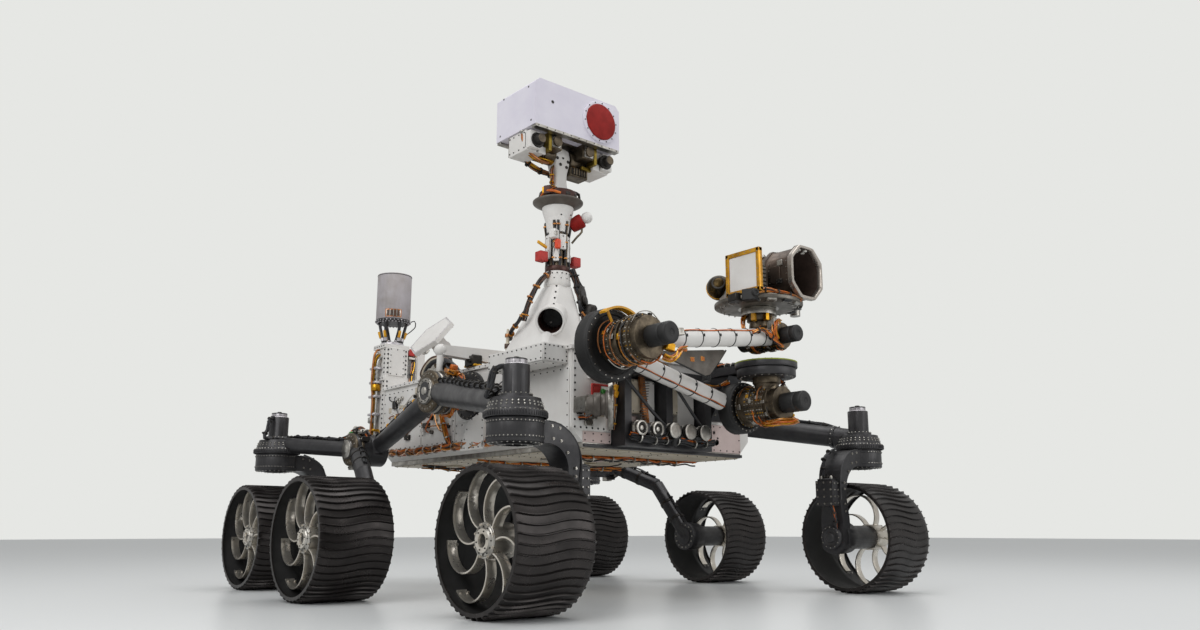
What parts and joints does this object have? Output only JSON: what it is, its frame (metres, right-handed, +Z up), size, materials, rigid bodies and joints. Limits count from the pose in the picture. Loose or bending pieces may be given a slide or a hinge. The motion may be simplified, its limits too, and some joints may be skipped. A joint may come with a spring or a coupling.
{
  "type": "planetary rover",
  "caption": "Six-wheeled planetary rover with steered corner wheels, a camera mast that turns and tilts, a jointed arm with a tool turret, and a steerable antenna.",
  "frame": {"origin": "on the floor, in the middle of the rover's footprint", "axes": "+Z up, the rover faces -Y, its left side is +X"},
  "size_m": [2.75, 2.8, 2.291],
  "materials": {
    "white_paint": "satin white paint",
    "grey_paint": "satin pale lilac-grey paint",
    "black_anodised": "black anodised",
    "bare_metal": "bare machined",
    "titanium": "bare titanium, warm grey",
    "dark_housing": "dark grey-brown, satin",
    "gold": "gold plated"
  },
  "bodies": {
    "chassis": {"body_shell": "white_paint", "deck": "white_paint", "belly_pan": "bare_metal", "differential_bar": "white_paint", "mast_foot": "white_paint", "mast_tube": "white_paint", "arm_bracket": "bare_metal", "dish_post": "bare_metal", "relay_antenna": "grey_paint", "relay_tower": "white_paint", "antenna_stalk": "bare_metal", "source_mount": "bare_metal", "front_bay": "black_anodised", "docking_disc": "bare_metal", "payload_plate": "bare_metal", "rocker_left": "black_anodised", "rocker_right": "black_anodised", "bogie_left": "black_anodised", "bogie_right": "black_anodised", "heat_exchanger_left": "white_paint", "heat_exchanger_right": "white_paint"},
    "mast_pan": {"mast_neck": "white_paint"},
    "mast_head": {"camera_bar": "white_paint", "head_box": "grey_paint"},
    "arm_shoulder": {"shoulder": "dark_housing"},
    "arm_upper": {"upper_arm": "white_paint"},
    "arm_fore": {"forearm": "white_paint"},
    "arm_wrist": {"wrist": "dark_housing"},
    "arm_turret": {"turret_plate": "bare_metal", "turret_drill": "dark_housing", "turret_sensor": "gold"},
    "dish_pan": {"dish_turntable": "dark_housing"},
    "dish_face": {"dish": "white_paint"},
    "steer_front_left": {"leg_front_left": "black_anodised"},
    "wheel_front_left": {"wheel_rim_front_left": "black_anodised", "wheel_hub_front_left": "titanium"},
    "steer_front_right": {"leg_front_right": "black_anodised"},
    "wheel_front_right": {"wheel_rim_front_right": "black_anodised", "wheel_hub_front_right": "titanium"},
    "wheel_middle_left": {"wheel_rim_middle_left": "black_anodised", "wheel_hub_middle_left": "titanium"},
    "wheel_middle_right": {"wheel_rim_middle_right": "black_anodised", "wheel_hub_middle_right": "titanium"},
    "steer_rear_left": {"leg_rear_left": "black_anodised"},
    "wheel_rear_left": {"wheel_rim_rear_left": "black_anodised", "wheel_hub_rear_left": "titanium"},
    "steer_rear_right": {"leg_rear_right": "black_anodised"},
    "wheel_rear_right": {"wheel_rim_rear_right": "black_anodised", "wheel_hub_rear_right": "titanium"}
  },
  "joints": [
    {"name": "steer_front_left", "type": "hinge", "parent": "chassis", "child": "steer_front_left", "pos_m": [1.06, -1.1, 0.69], "axis": [0, 0, 1], "range_deg": [-90, 90]},
    {"name": "roll_front_left", "type": "hinge", "parent": "steer_front_left", "child": "wheel_front_left", "pos_m": [1.06, -1.1, 0.263], "axis": [1, 0, 0], "continuous": true},
    {"name": "steer_front_right", "type": "hinge", "parent": "chassis", "child": "steer_front_right", "pos_m": [-1.06, -1.1, 0.69], "axis": [0, 0, 1], "range_deg": [-90, 90]},
    {"name": "roll_front_right", "type": "hinge", "parent": "steer_front_right", "child": "wheel_front_right", "pos_m": [-1.06, -1.1, 0.263], "axis": [1, 0, 0], "continuous": true},
    {"name": "roll_middle_left", "type": "hinge", "parent": "chassis", "child": "wheel_middle_left", "pos_m": [1.21, 0.035, 0.263], "axis": [1, 0, 0], "continuous": true},
    {"name": "roll_middle_right", "type": "hinge", "parent": "chassis", "child": "wheel_middle_right", "pos_m": [-1.21, 0.035, 0.263], "axis": [1, 0, 0], "continuous": true},
    {"name": "steer_rear_left", "type": "hinge", "parent": "chassis", "child": "steer_rear_left", "pos_m": [1.06, 1.065, 0.69], "axis": [0, 0, 1], "range_deg": [-90, 90]},
    {"name": "roll_rear_left", "type": "hinge", "parent": "steer_rear_left", "child": "wheel_rear_left", "pos_m": [1.06, 1.065, 0.263], "axis": [1, 0, 0], "continuous": true},
    {"name": "steer_rear_right", "type": "hinge", "parent": "chassis", "child": "steer_rear_right", "pos_m": [-1.06, 1.065, 0.69], "axis": [0, 0, 1], "range_deg": [-90, 90]},
    {"name": "roll_rear_right", "type": "hinge", "parent": "steer_rear_right", "child": "wheel_rear_right", "pos_m": [-1.06, 1.065, 0.263], "axis": [1, 0, 0], "continuous": true},
    {"name": "mast_turn", "type": "hinge", "parent": "chassis", "child": "mast_pan", "pos_m": [-0.455, -0.56, 1.762], "axis": [0, 0, 1], "range_deg": [-180, 180]},
    {"name": "head_tilt", "type": "hinge", "parent": "mast_pan", "child": "mast_head", "pos_m": [-0.455, -0.56, 2.01], "axis": [1, 0, 0], "range_deg": [-87, 90]},
    {"name": "arm_turn", "type": "hinge", "parent": "chassis", "child": "arm_shoulder", "pos_m": [0.24, -1.19, 1], "axis": [0, 0, 1], "range_deg": [0, 150]},
    {"name": "arm_lift", "type": "hinge", "parent": "arm_shoulder", "child": "arm_upper", "pos_m": [0.24, -1.035, 0.84], "axis": [0, 1, 0], "range_deg": [0, 45]},
    {"name": "elbow", "type": "hinge", "parent": "arm_upper", "child": "arm_fore", "pos_m": [-0.56, -1.235, 1.03], "axis": [0, -1, 0], "range_deg": [0, 150]},
    {"name": "wrist_bend", "type": "hinge", "parent": "arm_fore", "child": "arm_wrist", "pos_m": [0.25, -1.235, 1.142], "axis": [0, 1, 0], "range_deg": [0, 90]},
    {"name": "turret_turn", "type": "hinge", "parent": "arm_wrist", "child": "arm_turret", "pos_m": [0.25, -1.15, 1.284], "axis": [0, 0, 1], "range_deg": [-175, 175]},
    {"name": "dish_turn", "type": "hinge", "parent": "chassis", "child": "dish_pan", "pos_m": [-0.42, 0.49, 1.18], "axis": [0, 0, 1], "range_deg": [-180, 180]},
    {"name": "dish_lift", "type": "hinge", "parent": "dish_pan", "child": "dish_face", "pos_m": [-0.42, 0.49, 1.262], "axis": [0, 1, 0], "range_deg": [-40, 60]}
  ]
}
